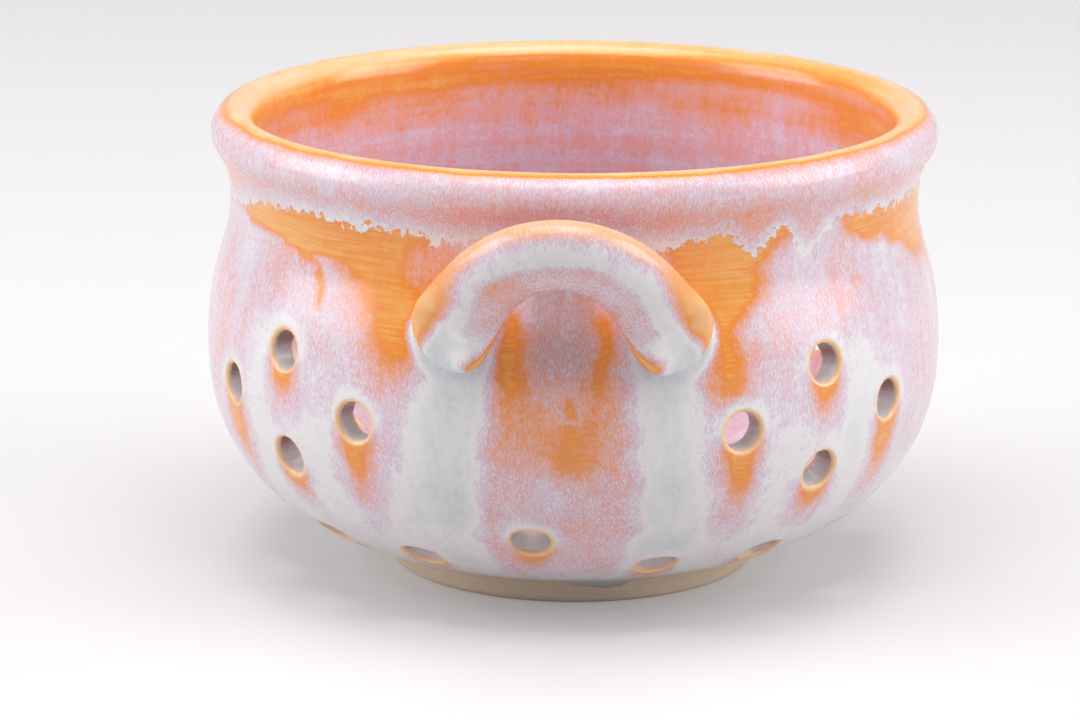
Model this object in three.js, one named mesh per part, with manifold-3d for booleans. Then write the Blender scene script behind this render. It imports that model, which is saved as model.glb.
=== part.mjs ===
// A hand-thrown stoneware colander bowl: a pierced, bellied body with a rolled rim, a bare foot ring,
// and two pulled lug handles that are luted on at the shoulder, one at the front and one at the back.
// Millimetres, +Z up. The origin is the centre of the circle that the foot stands on, and the front
// handle faces -Y.
import * as THREE from "three";
import { mergeVertices } from "three/addons/utils/BufferGeometryUtils.js";
import Module from "manifold-3d";

// The thrown body
const HEIGHT = 106; // table to the top of the rim
const RIM_DIAMETER = 165; // over the rolled rim
const RIM_ROLL_WIDTH = 10.3; // section of the rolled rim, across
const RIM_ROLL_HEIGHT = 11.4; // section of the rolled rim, upright
const NECK_DIAMETER = 156.4; // outside, at the narrowest place under the rim
const NECK_DROP = 22; // top of the rim down to the neck
const BELLY_DIAMETER = 167.6; // outside, at the widest place
const BELLY_HEIGHT = 51; // table to the widest place
const WALL = 6.1; // at the neck and the belly
const FLOOR = 7.5; // thickness of the floor
const FLOOR_DIAMETER = 72; // flat of the floor, inside
const BASE_FLARE_OUT = 23; // pull of the lower wall's curve where it leaves the foot, sideways
const BASE_FLARE_UP = 5; // and upwards
const BELLY_FULLNESS_BELOW = 26; // upright pull of the curve under the widest place
const BELLY_FULLNESS_ABOVE = 20; // upright pull of the curve over the widest place
const NECK_FULLNESS = 9; // upright pull of the curve under the neck

// The foot ring
const FOOT_DIAMETER = 84; // outside, where it stands
const FOOT_HEIGHT = 6;
const FOOT_WIDTH = 9; // of the ring it stands on
const FOOT_DRAFT = 0.7; // the ring leans out by this much from the table to the body
const FOOT_CHAMFER = 0.9; // broken edges at the table
const GLAZE_LIP = 0.5; // the body stands proud of the foot ring

// The drain holes
const HOLE_DIAMETER = 8.4;
const DIAMONDS = 4; // groups of holes round the belly
const DIAMOND_HEIGHT = 49.3; // table to the middle of a group
const DIAMOND_HALF_WIDTH = 21.8; // along the wall
const DIAMOND_HALF_HEIGHT = 12.2; // upright
const DIAMOND_TURN = -2.3; // degrees that the groups are turned from midway between the handles
const LOW_RING_HOLES = 16; // round the bottom of the wall
const LOW_RING_HEIGHT = 16;
const LOW_RING_RISE = 8; // extra height of the holes midway between two groups
const LOW_RING_TURN = -5; // degrees
const FLOOR_RING_HOLES = 6;
const FLOOR_RING_RADIUS = 20;

// The pulled handles
const HANDLE_SPAN = 54; // middle to middle of the two root ends, on the wall
const HANDLE_ROOT_HEIGHT = 65; // table to the root ends
const HANDLE_TOP_HEIGHT = 93.3; // table to the middle of the strap at its top
const HANDLE_GAP = 9.7; // clear space from the rim's outside to the strap
const LEG_PULL_IN = 5.5; // pull of the strap's curve where it leaves a root, sideways
const LEG_PULL_OUT = 5; // and away from the wall
const LEG_PULL_UP = 12; // and upwards
const TOP_PULL = 15; // sideways pull of the curve at the top
const STRAP_WIDTH = 18; // section of the strap at its top
const STRAP_THICKNESS = 12;
const ROOT_WIDTH = 19.5; // the strap is pressed wider and thinner where it lies on the wall
const ROOT_THICKNESS = 8.5;
const ROOT_ROUND = 8.5; // length of the rounded end of a root
const THUMB_DENT = 1.4; // depth of the thumb mark on each root
const LUTE_GAP = 0.3; // between the handle and the wall that it is luted to

// Facets
const TURN_SIDES = 56; // round the body and the foot
const FACET = 8; // length along the profile
const RIM_STEPS = 8; // round the rolled rim
const HOLE_SIDES = 12;
const STRAP_SIDES = 14;
const STRAP_STEPS = 28;

const RIM_RADIUS = RIM_DIAMETER / 2;
const NECK_RADIUS = NECK_DIAMETER / 2;
const BELLY_RADIUS = BELLY_DIAMETER / 2;
const BASE_RADIUS = FOOT_DIAMETER / 2 + FOOT_DRAFT + GLAZE_LIP;
const NECK_HEIGHT = HEIGHT - NECK_DROP;
const FLOOR_HEIGHT = FOOT_HEIGHT + FLOOR;

const glaze = new THREE.MeshStandardMaterial({ color: 0xe6c6cf, roughness: 0.22, metalness: 0 });
const handleGlaze = new THREE.MeshStandardMaterial({ color: 0xe8d3cf, roughness: 0.22, metalness: 0 });
const bareClay = new THREE.MeshStandardMaterial({ color: 0xc9b799, roughness: 0.85, metalness: 0 });

const wasm = await Module();
wasm.setup();

// A closed geometry as a solid that can be cut.
function solidOf(geometry) {
  const bare = geometry.clone();
  bare.deleteAttribute("normal");
  bare.deleteAttribute("uv");
  const merged = mergeVertices(bare, 1e-4);
  return new wasm.Manifold(
    new wasm.Mesh({
      numProp: 3,
      vertProperties: merged.attributes.position.array,
      triVerts: new Uint32Array(merged.index.array),
    }),
  );
}

function geometryOf(solid) {
  const mesh = solid.getMesh();
  return new THREE.BufferGeometry()
    .setAttribute("position", new THREE.BufferAttribute(mesh.vertProperties, 3))
    .setIndex(new THREE.BufferAttribute(mesh.triVerts, 1));
}

// A profile of (radius, height) points, from the axis or closed on itself, turned about +Z.
function turned(points) {
  return new THREE.LatheGeometry(points, TURN_SIDES).rotateX(Math.PI / 2);
}

function bezier(...numbers) {
  const points = [];
  for (let i = 0; i < numbers.length; i += 2) points.push(new THREE.Vector2(numbers[i], numbers[i + 1]));
  return new THREE.CubicBezierCurve(...points);
}

// The wall's outer curves, from the foot up to the rolled rim. grow moves the whole skin outwards.
function outerCurves(grow = 0) {
  const base = BASE_RADIUS + grow;
  const belly = BELLY_RADIUS + grow;
  const neck = NECK_RADIUS + grow;
  return [
    bezier(
      base, FOOT_HEIGHT,
      base + BASE_FLARE_OUT, FOOT_HEIGHT + BASE_FLARE_UP,
      belly, BELLY_HEIGHT - BELLY_FULLNESS_BELOW,
      belly, BELLY_HEIGHT,
    ),
    bezier(
      belly, BELLY_HEIGHT,
      belly, BELLY_HEIGHT + BELLY_FULLNESS_ABOVE,
      neck, NECK_HEIGHT - NECK_FULLNESS,
      neck, NECK_HEIGHT,
    ),
  ];
}

// The rolled rim's section: an oval from under its outside, over the top, to the inner wall.
const rimMiddle = new THREE.Vector2(RIM_RADIUS - RIM_ROLL_WIDTH / 2, HEIGHT - RIM_ROLL_HEIGHT / 2);
const rimStart = THREE.MathUtils.degToRad(-50);
const rimOval = new THREE.EllipseCurve(
  rimMiddle.x, rimMiddle.y, RIM_ROLL_WIDTH / 2, RIM_ROLL_HEIGHT / 2, rimStart, Math.PI,
);

// The cove from the neck up to the rolled rim, upright at the neck and along the oval at the rim.
function coveCurve(grow = 0) {
  const end = rimOval.getPoint(0);
  const along = rimOval.getTangent(0);
  const pull = (end.y - NECK_HEIGHT) / 3;
  const neck = NECK_RADIUS + grow;
  return bezier(
    neck, NECK_HEIGHT,
    neck, NECK_HEIGHT + pull,
    end.x + grow - along.x * pull, end.y - along.y * pull,
    end.x + grow, end.y,
  );
}

// The inner wall, from the rolled rim down to the floor.
function innerCurves() {
  const neck = NECK_RADIUS - WALL;
  const belly = BELLY_RADIUS - WALL;
  const rim = rimOval.getPoint(1);
  const drop = (rim.y - NECK_HEIGHT) / 2;
  return [
    bezier(rim.x, rim.y, rim.x, rim.y - drop, neck, NECK_HEIGHT + drop, neck, NECK_HEIGHT),
    bezier(
      neck, NECK_HEIGHT,
      neck, NECK_HEIGHT - NECK_FULLNESS,
      belly, BELLY_HEIGHT + BELLY_FULLNESS_ABOVE,
      belly, BELLY_HEIGHT,
    ),
    bezier(
      belly, BELLY_HEIGHT,
      belly, BELLY_HEIGHT - BELLY_FULLNESS_BELOW + BASE_FLARE_UP / 3,
      FLOOR_DIAMETER / 2 + BASE_FLARE_OUT, FLOOR_HEIGHT + BASE_FLARE_UP / 3,
      FLOOR_DIAMETER / 2, FLOOR_HEIGHT,
    ),
  ];
}

// Points along a run of curves, without repeating the points where they meet.
function pointsAlong(curves) {
  return curves.flatMap((curve, i) => {
    const steps = Math.max(3, Math.round(curve.getLength() / FACET));
    return curve.getPoints(steps).slice(i === 0 ? 0 : 1);
  });
}

// The place and outward direction of the outer wall at a height, in the plane of the profile.
function wallAt(height) {
  const curve = outerCurves().find((c) => height <= c.v3.y);
  let low = 0;
  let high = 1;
  for (let i = 0; i < 40; i++) {
    const middle = (low + high) / 2;
    if (curve.getPoint(middle).y < height) low = middle;
    else high = middle;
  }
  const along = curve.getTangent(low);
  return { radius: curve.getPoint(low).x, out: along.y, up: -along.x };
}

// A round cutter that goes straight through the wall at an angle (degrees from the front) and height.
function wallCutter(angle, height) {
  const { radius, out, up } = wallAt(height);
  const turn = THREE.MathUtils.degToRad(angle);
  const side = new THREE.Vector3(Math.sin(turn), -Math.cos(turn), 0);
  const axis = side.clone().multiplyScalar(out).add(new THREE.Vector3(0, 0, up));
  const cutter = new THREE.CylinderGeometry(HOLE_DIAMETER / 2, HOLE_DIAMETER / 2, 4 * WALL, HOLE_SIDES);
  cutter.applyQuaternion(new THREE.Quaternion().setFromUnitVectors(new THREE.Vector3(0, 1, 0), axis));
  return cutter.translate(side.x * radius, side.y * radius, height);
}

function floorCutter(angle, radius) {
  const turn = THREE.MathUtils.degToRad(angle);
  return new THREE.CylinderGeometry(HOLE_DIAMETER / 2, HOLE_DIAMETER / 2, 4 * FLOOR, HOLE_SIDES)
    .rotateX(Math.PI / 2)
    .translate(radius * Math.sin(turn), -radius * Math.cos(turn), FOOT_HEIGHT + FLOOR / 2);
}

// Every drain hole's cutter: the diamonds on the belly, the low ring, and those in the floor.
function drainCutters() {
  const cutters = [];
  const lean = THREE.MathUtils.radToDeg(DIAMOND_HALF_WIDTH / BELLY_RADIUS);
  for (let i = 0; i < DIAMONDS; i++) {
    const middle = (360 / DIAMONDS) * (i + 0.5) + DIAMOND_TURN;
    for (const end of [-1, 1]) {
      cutters.push(wallCutter(middle + end * lean, DIAMOND_HEIGHT));
      cutters.push(wallCutter(middle, DIAMOND_HEIGHT + end * DIAMOND_HALF_HEIGHT));
    }
  }
  for (let i = 0; i < LOW_RING_HOLES; i++) {
    const between = i % (LOW_RING_HOLES / DIAMONDS) === 0;
    const height = LOW_RING_HEIGHT + (between ? LOW_RING_RISE : 0);
    cutters.push(wallCutter((360 / LOW_RING_HOLES) * i + LOW_RING_TURN, height));
  }
  cutters.push(floorCutter(0, 0));
  for (let i = 0; i < FLOOR_RING_HOLES; i++) {
    cutters.push(floorCutter((360 / FLOOR_RING_HOLES) * i, FLOOR_RING_RADIUS));
  }
  return cutters;
}

function bowlBody() {
  const profile = [
    new THREE.Vector2(0, FOOT_HEIGHT),
    ...pointsAlong([...outerCurves(), coveCurve()]),
    ...rimOval.getPoints(RIM_STEPS).slice(1),
    ...pointsAlong(innerCurves()).slice(1),
    new THREE.Vector2(0, FLOOR_HEIGHT),
  ];
  const holes = drainCutters().map(solidOf);
  return geometryOf(solidOf(turned(profile)).subtract(wasm.Manifold.union(holes)));
}

function footRing() {
  const outside = FOOT_DIAMETER / 2;
  const inside = outside - FOOT_WIDTH;
  const points = [
    [inside + FOOT_CHAMFER, 0],
    [outside - FOOT_CHAMFER, 0],
    [outside, FOOT_CHAMFER],
    [outside + FOOT_DRAFT, FOOT_HEIGHT],
    [inside, FOOT_HEIGHT],
    [inside, FOOT_CHAMFER],
    [inside + FOOT_CHAMFER, 0],
  ];
  return turned(points.map(([radius, height]) => new THREE.Vector2(radius, height)));
}

// The middle line of the strap, root to root, as (sideways, outwards from the axis, up). Each root lies
// splayed on the wall, the legs lean out from it, and the top arches over the finger gap.
function strapLine() {
  const side = HANDLE_SPAN / 2;
  const wall = Math.sqrt(wallAt(HANDLE_ROOT_HEIGHT).radius ** 2 - side ** 2);
  const top = new THREE.Vector3(0, RIM_RADIUS + HANDLE_GAP + STRAP_THICKNESS / 2, HANDLE_TOP_HEIGHT);
  const halves = [-1, 1].map((end) => [
    new THREE.Vector3(end * side, wall, HANDLE_ROOT_HEIGHT),
    new THREE.Vector3(end * (side - LEG_PULL_IN), wall + LEG_PULL_OUT, HANDLE_ROOT_HEIGHT + LEG_PULL_UP),
    new THREE.Vector3(end * TOP_PULL, top.y, top.z),
    top,
  ]);
  const line = new THREE.CurvePath();
  line.add(new THREE.CubicBezierCurve3(...halves[0]));
  line.add(new THREE.CubicBezierCurve3(...halves[1].reverse()));
  return line;
}

// The strap swept along its line: oval over the gap, pressed flat with a thumb mark on the wall.
function strapSolid() {
  const line = strapLine();
  const length = line.getLength();
  const lean = line.getPoint(0.5).sub(line.getPoint(0));
  const face = new THREE.Vector3(0, lean.z, -lean.y).normalize();
  const rings = [];
  for (let i = 0; i <= STRAP_STEPS; i++) {
    const share = 0.5 - 0.5 * Math.cos((Math.PI * i) / STRAP_STEPS);
    const middle = line.getPointAt(share);
    const along = line.getTangentAt(share);
    const root = THREE.MathUtils.smoothstep(Math.abs(share - 0.5) * 2, 0.5, 0.9);
    const wall = wallAt(Math.min(middle.z, NECK_HEIGHT));
    const seat = new THREE.Vector3(middle.x, middle.y, 0).setLength(wall.out).setZ(wall.up);
    const front = face.clone().lerp(seat, root);
    front.addScaledVector(along, -front.dot(along)).normalize();
    const across = new THREE.Vector3().crossVectors(front, along);
    const fromEnd = Math.min(share, 1 - share) * length;
    const closing = Math.max(0, 1 - fromEnd / ROOT_ROUND);
    const fullness = Math.max(0.05, Math.sqrt(1 - closing ** 2));
    const width = THREE.MathUtils.lerp(STRAP_WIDTH, ROOT_WIDTH, root) * fullness;
    const thickness = THREE.MathUtils.lerp(STRAP_THICKNESS, ROOT_THICKNESS, root) * fullness;
    const ring = [];
    for (let j = 0; j < STRAP_SIDES; j++) {
      const turn = (j / STRAP_SIDES) * 2 * Math.PI;
      const dent = THUMB_DENT * root * fullness * Math.max(0, Math.sin(turn)) ** 3;
      ring.push(
        middle
          .clone()
          .addScaledVector(across, (width / 2) * Math.cos(turn))
          .addScaledVector(front, (thickness / 2) * Math.sin(turn) - dent),
      );
    }
    rings.push(ring);
  }
  return solidOf(skin(rings));
}

// A closed skin over a row of rings with equally many points, capped at both ends.
function skin(rings) {
  const sides = rings[0].length;
  const ends = [rings[0], rings.at(-1)].map((ring) =>
    ring.reduce((sum, p) => sum.add(p), new THREE.Vector3()).divideScalar(sides),
  );
  const points = [...rings.flat(), ...ends];
  const faces = [];
  for (let j = 0; j < sides; j++) {
    const next = (j + 1) % sides;
    for (let i = 0; i + 1 < rings.length; i++) {
      const [a, b] = [i * sides + j, i * sides + next];
      faces.push(a, b, a + sides, b, b + sides, a + sides);
    }
    const last = (rings.length - 1) * sides;
    faces.push(next, j, rings.length * sides);
    faces.push(last + j, last + next, rings.length * sides + 1);
  }
  return new THREE.BufferGeometry().setFromPoints(points).setIndex(faces);
}

// The strap with its roots cut to the wall. It is made facing +Y, and stands where its group turns it.
function pulledHandle() {
  const keptOut = turned([
    new THREE.Vector2(0, FOOT_HEIGHT),
    ...pointsAlong([...outerCurves(LUTE_GAP), coveCurve(LUTE_GAP)]),
    new THREE.Vector2(0, rimOval.getPoint(0).y),
  ]);
  return geometryOf(strapSolid().subtract(solidOf(keptOut)));
}

function piece(name, geometry, material) {
  const mesh = new THREE.Mesh(geometry, material);
  mesh.name = name;
  return mesh;
}

const bowl = new THREE.Group();
bowl.add(piece("bowl_body", bowlBody(), glaze));
bowl.add(piece("foot_ring", footRing(), bareClay));
for (const [name, turn] of [["handle_front", Math.PI], ["handle_back", 0]]) {
  const side = new THREE.Group();
  side.rotation.z = turn;
  side.add(piece(name, pulledHandle(), handleGlaze));
  bowl.add(side);
}

export default bowl;
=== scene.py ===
"""A glazed stoneware colander bowl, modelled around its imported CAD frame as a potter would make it."""

import math
from functools import partial

import bpy
import numpy as np
from bpy.props import FloatProperty, FloatVectorProperty, IntProperty, PointerProperty
from mathutils import Matrix, Vector, noise
from mathutils.geometry import interpolate_bezier
from mathutils.kdtree import KDTree


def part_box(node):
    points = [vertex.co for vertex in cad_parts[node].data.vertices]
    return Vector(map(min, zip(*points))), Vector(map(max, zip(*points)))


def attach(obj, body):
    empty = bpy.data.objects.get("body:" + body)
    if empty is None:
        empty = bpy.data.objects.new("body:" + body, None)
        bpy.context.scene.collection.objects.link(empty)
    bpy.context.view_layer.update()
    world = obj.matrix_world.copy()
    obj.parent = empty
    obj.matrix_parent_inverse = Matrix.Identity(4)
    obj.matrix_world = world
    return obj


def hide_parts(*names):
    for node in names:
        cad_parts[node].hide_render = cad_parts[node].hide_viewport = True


bl_info = {
    "name": "Stoneware colander bowl",
    "version": (1, 0, 0),
    "blender": (4, 5, 0),
    "location": "3D View > Sidebar > Colander",
    "description": "Makes a glazed stoneware colander bowl with two lug handles, and a plain stage for it",
    "category": "Add Mesh",
}

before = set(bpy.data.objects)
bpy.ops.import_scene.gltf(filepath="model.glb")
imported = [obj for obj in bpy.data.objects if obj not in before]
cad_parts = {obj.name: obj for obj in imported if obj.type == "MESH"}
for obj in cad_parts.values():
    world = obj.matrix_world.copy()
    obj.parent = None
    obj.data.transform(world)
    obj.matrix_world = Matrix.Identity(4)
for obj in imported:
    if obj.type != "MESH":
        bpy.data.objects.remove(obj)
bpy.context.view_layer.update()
BODY_LOW, BODY_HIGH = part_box("bowl_body")
FOOT_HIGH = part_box("foot_ring")[1]
MM = 0.001

# How many points follow the profile's outer curves, its inner ones below and above the belly, and each half
# of a handle's strap
OUTER_STEPS = 120
INNER_LOWER_STEPS = 300
INNER_UPPER_STEPS = 200
STRAP_STEPS = 200
# Rows of faces under the bowl and on its floor, as shares of the radius of the base and of the floor
UNDERSIDE_ROWS = (0.75, 0.88, 0.985)
FLOOR_ROW = 0.87


def linear(hex_colour):
    """The linear RGB of an sRGB hex colour."""
    parts = [int(hex_colour[i:i + 2], 16) / 255 for i in (1, 3, 5)]
    return tuple(c / 12.92 if c <= 0.04045 else ((c + 0.055) / 1.055) ** 2.4 for c in parts)


def length(name, description, default):
    return FloatProperty(name=name, description=description, default=default, unit="LENGTH", precision=4)


def angle(name, description, degrees):
    return FloatProperty(name=name, description=description, default=math.radians(degrees), subtype="ANGLE")


def number(name, description, default):
    return IntProperty(name=name, description=description, default=default, min=default // 2)


def colour(name, description, default):
    return FloatVectorProperty(
        name=name, description=description, default=linear(default), subtype="COLOR", size=3, min=0, max=1)


class ColanderBody(bpy.types.PropertyGroup):
    height: length("Height", "From the table to the top of the rim", BODY_HIGH.z)
    underside: length("Underside", "Height of the underside over the table", BODY_LOW.z)
    belly_radius: length("Belly radius", "Radius at the widest of the belly", BODY_HIGH.x)
    belly_height: length("Belly height", "Height of the widest of the belly", 51 * MM)
    base_radius: length("Base radius", "Radius where the glaze ends on the foot", 43.2 * MM)
    base_flare: length("Base flare", "How far the low wall runs out before it turns up", 23 * MM)
    base_lift: length("Base lift", "How far the low wall climbs over that flare", 5 * MM)
    belly_below: length("Belly below", "Roundness of the belly below its widest", 26 * MM)
    belly_above: length("Belly above", "Roundness of the belly above its widest", 20 * MM)
    neck_radius: length("Neck radius", "Radius of the narrow neck under the rim", 78.2 * MM)
    neck_height: length("Neck height", "Height of the neck", 84 * MM)
    neck_below: length("Neck below", "Roundness of the neck below its narrowest", 9 * MM)
    rim_radius: length("Rim radius", "Outer radius of the rolled rim", 82.5 * MM)
    rim_width: length("Rim width", "Width of the rim's roll", 10.3 * MM)
    rim_height: length("Rim height", "Height of the rim's roll", 11.4 * MM)
    wall: length("Wall", "Thickness of the wall", 6.1 * MM)
    floor: length("Floor", "Thickness of the floor", 7.5 * MM)
    floor_radius: length("Floor radius", "Radius of the flat floor inside", 36 * MM)
    turns: number("Turns", "Faces round the bowl before it is smoothed", 144)
    row: length("Row", "Height of a face of the wall before it is smoothed", 3.7 * MM)


class ColanderHoles(bpy.types.PropertyGroup):
    radius: length("Radius", "Radius of a drain hole", 4.2 * MM)
    lip: length("Lip", "Radius of the sponged round on each hole's lip", 0.9 * MM)
    diamonds: number("Diamonds", "Groups of four holes round the belly", 4)
    diamond_height: length("Diamond height", "Height of the middle of each diamond of four holes", 49.3 * MM)
    diamond_rise: length("Diamond rise", "From the middle of a diamond to its top and bottom hole", 12.2 * MM)
    diamond_spread: angle("Diamond spread", "From the middle of a diamond to its side holes", 15)
    diamond_turn: angle("Diamond turn", "Turn of the diamonds from midway between the handles", -2.5)
    low_holes: number("Low ring holes", "Holes in the ring low on the wall", 16)
    low_height: length("Low ring height", "Height of the ring of holes low on the wall", 16 * MM)
    low_rise: length("Low ring rise", "How much higher every fourth hole of that ring lies", 8 * MM)
    low_turn: angle("Low ring turn", "Turn of that ring from the middle of the front handle", -5)
    floor_holes: number("Floor ring holes", "Holes in the floor round the middle one", 6)
    floor_ring: length("Floor ring", "Radius of the ring of holes in the floor", 20 * MM)


class ColanderFoot(bpy.types.PropertyGroup):
    radius: length("Radius", "Outer radius of the foot ring at its top", FOOT_HIGH.x)
    height: length("Height", "From the table to where the glaze ends", FOOT_HIGH.z)
    hollow: length("Hollow", "Inner radius of the ring", 33 * MM)
    taper: length("Taper", "How much narrower the ring is near the table", 0.7 * MM)
    outer_round: length("Outer round", "Round of the outer edge that stands on the table", 1.1 * MM)
    inner_round: length("Inner round", "Round of the inner edge that stands on the table", 1.4 * MM)
    turns: number("Turns", "Faces round the ring before it is smoothed", 96)


class ColanderHandles(bpy.types.PropertyGroup):
    span: length("Span", "From root to root along the wall", 54 * MM)
    root_height: length("Root height", "Height of the lower end of the roots", 65 * MM)
    top_height: length("Top height", "Height of the strap's middle line at the top", 93.3 * MM)
    reach: length("Reach", "From the bowl's axis to the strap's middle line at the top", 98.2 * MM)
    leg_in: length("Leg in", "How far the legs lean in towards each other", 5.5 * MM)
    leg_out: length("Leg out", "How far the legs lean out from the wall", 5 * MM)
    leg_up: length("Leg up", "How far the legs rise before they turn into the arch", 12 * MM)
    arch_pull: length("Arch pull", "How wide the top of the arch is drawn", 15 * MM)
    strap_width: length("Strap width", "Width of the strap over the arch", 18 * MM)
    strap_depth: length("Strap depth", "Thickness of the strap over the arch", 12 * MM)
    root_width: length("Root width", "Width of the strap at its roots", 19.5 * MM)
    root_depth: length("Root depth", "Thickness of the strap at its roots", 8.5 * MM)
    root_round: length("Root round", "Length over which a root's end closes", 8.5 * MM)
    thumb_dent: length("Thumb dent", "Depth of the thumb mark on each root", 2.0 * MM)
    thumb_radius: length("Thumb radius", "Radius of the bottom of that mark", 4 * MM)
    thumb_edge: length("Thumb edge", "How far round it the strap gives way", 6 * MM)
    fillet: length("Fillet", "Height of the slip and glaze that fill the corner round a root", 1.0 * MM)
    fillet_width: length("Fillet width", "How far that filling runs out on the wall", 2.6 * MM)


class ColanderFinish(bpy.types.PropertyGroup):
    bare_edge: colour("Bare edge", "Glaze run thin over a sharp edge", "#FDEBD0")
    thin_edge: colour("Thin edge", "Glaze thinning towards an edge", "#FBD0A0")
    light_orange: colour("Light orange", "Thin glaze", "#FDBA68")
    orange: colour("Orange", "Thin glaze a little thicker", "#F8922E")
    salmon: colour("Salmon", "Glaze between orange and pink", "#F4A786")
    pink: colour("Pink", "Glaze of middling thickness", "#EDB6BC")
    lilac: colour("Lilac", "Thicker glaze", "#E3CDDE")
    white: colour("White", "Thick glaze and the hairs in it", "#F4F1F3")
    pale: colour("Pale", "Thicker glaze in the streams", "#E3E4E7")
    pool: colour("Pool", "Glaze pooled in a corner", "#C8D0D5")
    # Painted shade: this dark grey-brown is laid over the upper half of each hole's shaft and on the wall
    # under each handle's arch, where shade falls.
    painted_shade: colour("Painted shade", "Glaze starved of air in the holes and under the arches", "#8A756B")
    clay: colour("Clay", "Bare fired clay", "#FBE3CA")
    clay_shade: colour("Clay shade", "Darker grain of the bare clay", "#ECD0B4")


class ColanderStage(bpy.types.PropertyGroup):
    camera_distance: length(
        "Camera distance", "From the bowl's axis to the camera, along the floor", 961.56 * MM)
    camera_height: length("Camera height", "Height of the camera over the floor", 295.57 * MM)
    camera_side: angle("Camera side", "Angle of the camera round the bowl, from the front", 1.7)
    camera_tilt: angle("Camera tilt", "How far the camera looks down", 14.5875)
    camera_turn: angle("Camera turn", "How far the camera looks to the left of the bowl's axis", 0.45436)
    camera_roll: angle("Camera roll", "How far the camera is rolled", 0.212)
    lens: FloatProperty(name="Lens", description="Focal length on a 36 mm wide sensor", default=143.75)
    paper: colour("Paper", "Paper that the bowl stands on, as the camera sees it", "#D8D6D6")
    paper_bounce: colour("Paper bounce", "The same paper as it throws light back onto the bowl", "#C7C5C5")
    paper_glow: FloatProperty(
        name="Paper glow", description="How much whiter the camera sees the paper",
        default=0.15, min=0, max=1)
    room_light: FloatProperty(
        name="Room light", description="Strength of the light from all round", default=0.24, min=0)


# The bowl's profile, in the XZ plane

def wall_curves(body):
    """The outer wall from the base to the neck, as two Bezier curves of four points."""
    base = Vector((body.base_radius, 0, body.underside))
    belly = Vector((body.belly_radius, 0, body.belly_height))
    neck = Vector((body.neck_radius, 0, body.neck_height))
    up = Vector((0, 0, 1))
    flare = Vector((body.base_flare, 0, body.base_lift))
    return [
        (base, base + flare, belly - up * body.belly_below, belly),
        (belly, belly + up * body.belly_above, neck - up * body.neck_below, neck),
    ]


def inner_line(body):
    """Closely spaced points of the inner wall, from the edge of the floor to the neck."""
    up = Vector((0, 0, 1))
    lower, upper = wall_curves(body)
    corner = Vector((body.floor_radius, 0, body.underside + body.floor))
    low = body.base_lift / 3
    belly = upper[0] - Vector((body.wall, 0, 0))
    neck = upper[3] - Vector((body.wall, 0, 0))
    points = interpolate_bezier(
        corner, corner + Vector((body.base_flare, 0, low)), belly - up * (body.belly_below - low), belly,
        INNER_LOWER_STEPS)
    points += interpolate_bezier(
        belly, belly + up * body.belly_above, neck - up * body.neck_below, neck, INNER_UPPER_STEPS)
    return points


def rim_points(body, first, last, count):
    """Points on the rim's oval, from one angle to another in degrees."""
    middle = Vector((body.rim_radius - body.rim_width / 2, 0, body.height - body.rim_height / 2))
    points = []
    for i in range(count + 1):
        turn = math.radians(first + (last - first) * i / count)
        points.append(middle + Vector(
            (math.cos(turn) * body.rim_width / 2, 0, math.sin(turn) * body.rim_height / 2)))
    return points


def wall_line(body):
    """Height, radius and length along the outer wall, closely spaced from the base to the neck."""
    points = []
    for curve in wall_curves(body):
        points += interpolate_bezier(*curve, OUTER_STEPS)
    line = np.array([(p.z, p.x) for p in points])
    steps = np.hypot(*np.diff(line, axis=0).T)
    return line[:, 0], line[:, 1], np.concatenate([[0], np.cumsum(steps)])


def wall_at(body, height):
    """The outer wall's radius at a height, and its outward normal as (out, up)."""
    heights, radii, _ = wall_line(body)
    step = 0.5 * MM
    below, here, above = np.interp([height - step, height, height + step], heights, radii)
    normal = Vector((2 * step, 0, below - above)).normalized()
    return here, normal.x, normal.z


def wall_rows(body, holes):
    """Points of the outer wall from base to neck, a row apart, with one in the middle of every hole."""
    heights, radii, lengths = wall_line(body)
    rings = sorted({height for _, height in wall_spots(holes)})
    stops = [0, *np.interp(rings, heights, lengths), lengths[-1]]
    run = [0]
    for start, end in zip(stops, stops[1:]):
        run += np.linspace(start, end, round((end - start) / body.row) + 1)[1:].tolist()
    return [Vector((np.interp(s, lengths, radii), 0, np.interp(s, lengths, heights))) for s in run]


def through_wall(body, point):
    """The point of the inner wall straight behind a point of the outer wall."""
    _, out, up = wall_at(body, point.z)
    line = np.array([(p.x, p.z) for p in inner_line(body)])
    offset = np.array((point.x, point.z)) - line
    miss = np.abs(offset[:, 0] * up - offset[:, 1] * out)
    miss[np.hypot(*offset.T) > 2 * body.wall] = 1
    x, z = line[np.argmin(miss)]
    return Vector((x, 0, z))


def body_profile(body, holes):
    """The whole profile, from the middle of the underside round the rim to the middle of the floor."""
    up = Vector((0, 0, 1))
    outer = wall_rows(body, holes)
    inner = [through_wall(body, point) for point in outer]
    base, neck, neck_in = outer[0], outer[-1], inner[-1]
    eye = holes.radius + holes.lip
    ring = holes.floor_ring
    flat = [0, eye, ring / 2, ring - eye, ring, ring + eye]
    points = [Vector((r, 0, base.z)) for r in (*flat, *[base.x * share for share in UNDERSIDE_ROWS])]
    points += outer
    roll = rim_points(body, first=-50, last=180, count=11)
    pull = (roll[0].z - neck.z) / 3
    slope = (roll[1] - roll[0]).normalized()
    points += interpolate_bezier(neck, neck + up * pull, roll[0] - slope * pull, roll[0], 5)[1:]
    points += roll[1:]
    pull = 6 * MM
    points += interpolate_bezier(roll[-1], roll[-1] - up * pull, neck_in + up * pull, neck_in, 5)[1:-1]
    points += reversed(inner)
    floor = body.underside + body.floor
    rows = (body.floor_radius, body.floor_radius * FLOOR_ROW, *reversed(flat))
    points += [Vector((r, 0, floor)) for r in rows]
    return points


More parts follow.
